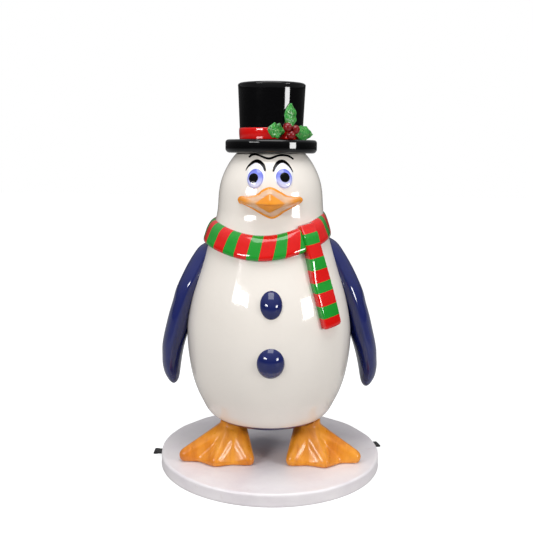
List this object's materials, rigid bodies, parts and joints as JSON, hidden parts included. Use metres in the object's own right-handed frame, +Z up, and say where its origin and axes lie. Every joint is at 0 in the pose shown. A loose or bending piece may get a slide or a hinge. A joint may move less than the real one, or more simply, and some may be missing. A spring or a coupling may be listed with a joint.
{
  "type": "penguin display figure",
  "caption": "Glossy fibreglass penguin figure in a top hat with holly and a striped scarf, standing on a round plinth with two webbing tie-down loops.",
  "frame": {"origin": "centre of the round plinth's flat underside", "axes": "+Z up, -Y the way the figure faces, +X the figure's left side"},
  "size_m": [0.7507, 0.7, 1.192],
  "materials": {
    "plinth_gelcoat": "semi-gloss pale lilac-grey gelcoat",
    "plywood": "sanded plywood",
    "orange_paint": "high-gloss orange enamel over fibreglass",
    "steel": "grey-painted mild steel",
    "zinc_hardware": "zinc-plated fasteners",
    "navy_paint": "high-gloss navy enamel over fibreglass",
    "white_paint": "high-gloss warm-white enamel over fibreglass",
    "scarf_red": "high-gloss red enamel with green stripes",
    "scarf_green": "high-gloss green enamel with red stripes",
    "button_blue": "high-gloss navy enamel",
    "eye_enamel": "high-gloss white enamel with painted violet-blue iris",
    "hat_black": "high-gloss black enamel over fibreglass",
    "band_red": "high-gloss red enamel",
    "holly_green": "high-gloss green enamel on moulded leaves",
    "berry_red": "high-gloss dark red enamel",
    "webbing": "black woven polyester webbing"
  },
  "bodies": {
    "statue": {"base_skin": "plinth_gelcoat", "base_board_upper": "plywood", "base_board_lower": "plywood", "foot_left": "orange_paint", "foot_right": "orange_paint", "leg_post_left": "steel", "leg_post_right": "steel", "cross_brace_lower": "steel", "cross_brace_upper": "steel", "flange_bolts": "zinc_hardware", "flange_washers": "zinc_hardware", "flange_nuts": "zinc_hardware", "bottom_pan": "navy_paint", "front_shell": "white_paint", "back_shell": "navy_paint", "tail": "navy_paint", "flipper_left": "navy_paint", "flipper_right": "navy_paint", "scarf_wrap": "scarf_red", "scarf_tail": "scarf_green", "button_upper": "button_blue", "button_lower": "button_blue", "eye_left": "eye_enamel", "eye_right": "eye_enamel", "beak_upper": "orange_paint", "beak_lower": "orange_paint", "hat_brim": "hat_black", "hat_crown": "hat_black", "hat_band": "band_red", "holly_leaf_top": "holly_green", "holly_leaf_left": "holly_green", "holly_leaf_right": "holly_green", "holly_berries": "berry_red", "strap_anchor_left": "webbing", "strap_anchor_right": "webbing", "strap_screws": "zinc_hardware"},
    "strap_left": {"strap_loop_left": "webbing"},
    "strap_right": {"strap_loop_right": "webbing"}
  },
  "joints": [
    {"name": "strap_left_hinge", "type": "hinge", "parent": "statue", "child": "strap_left", "pos_m": [-0.35211, 0.00799, 0.0155], "axis": [0.0227, 0.9997, 0], "range_deg": [-25, 75]},
    {"name": "strap_right_hinge", "type": "hinge", "parent": "statue", "child": "strap_right", "pos_m": [0.34247, 0.08222, 0.0155], "axis": [0.2334, -0.9724, 0], "range_deg": [-25, 75]}
  ]
}
